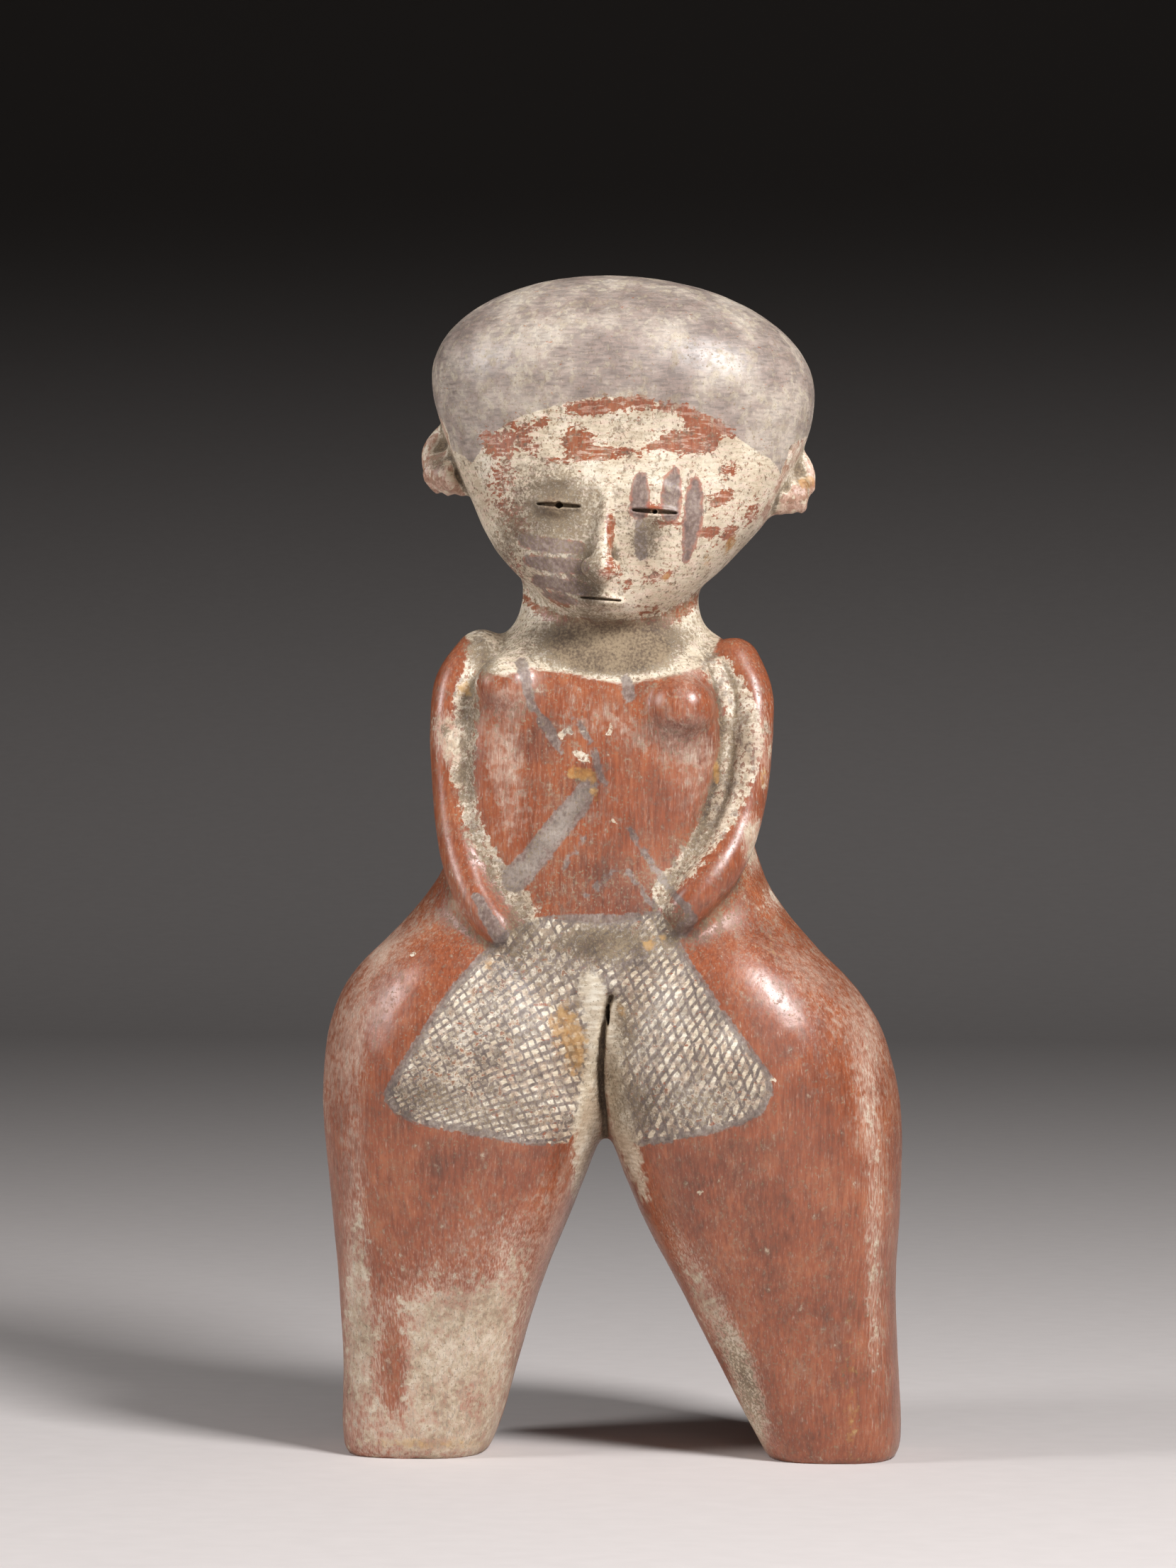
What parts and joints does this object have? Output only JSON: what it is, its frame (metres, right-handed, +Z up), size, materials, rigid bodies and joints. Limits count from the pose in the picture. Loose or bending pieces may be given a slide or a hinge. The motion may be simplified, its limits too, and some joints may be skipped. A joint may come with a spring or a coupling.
{
  "type": "nayarit figure",
  "caption": "Standing hollow ceramic female figure with a wide domed head, thin arms, full hips and splayed legs, slip-painted in red, cream and grey.",
  "frame": {"origin": "the middle of the footprint box, on the plane that both soles stand on", "axes": "+Z up through the head, -Y the way the face looks, +X towards the figure's left hand"},
  "size_m": [0.3448, 0.1792, 0.7003],
  "materials": {
    "slip_painted_earthenware": "burnished red slip with cream and grey slip painting, worn and stained"
  },
  "bodies": {
    "root": {"figure": "slip_painted_earthenware"}
  },
  "joints": []
}
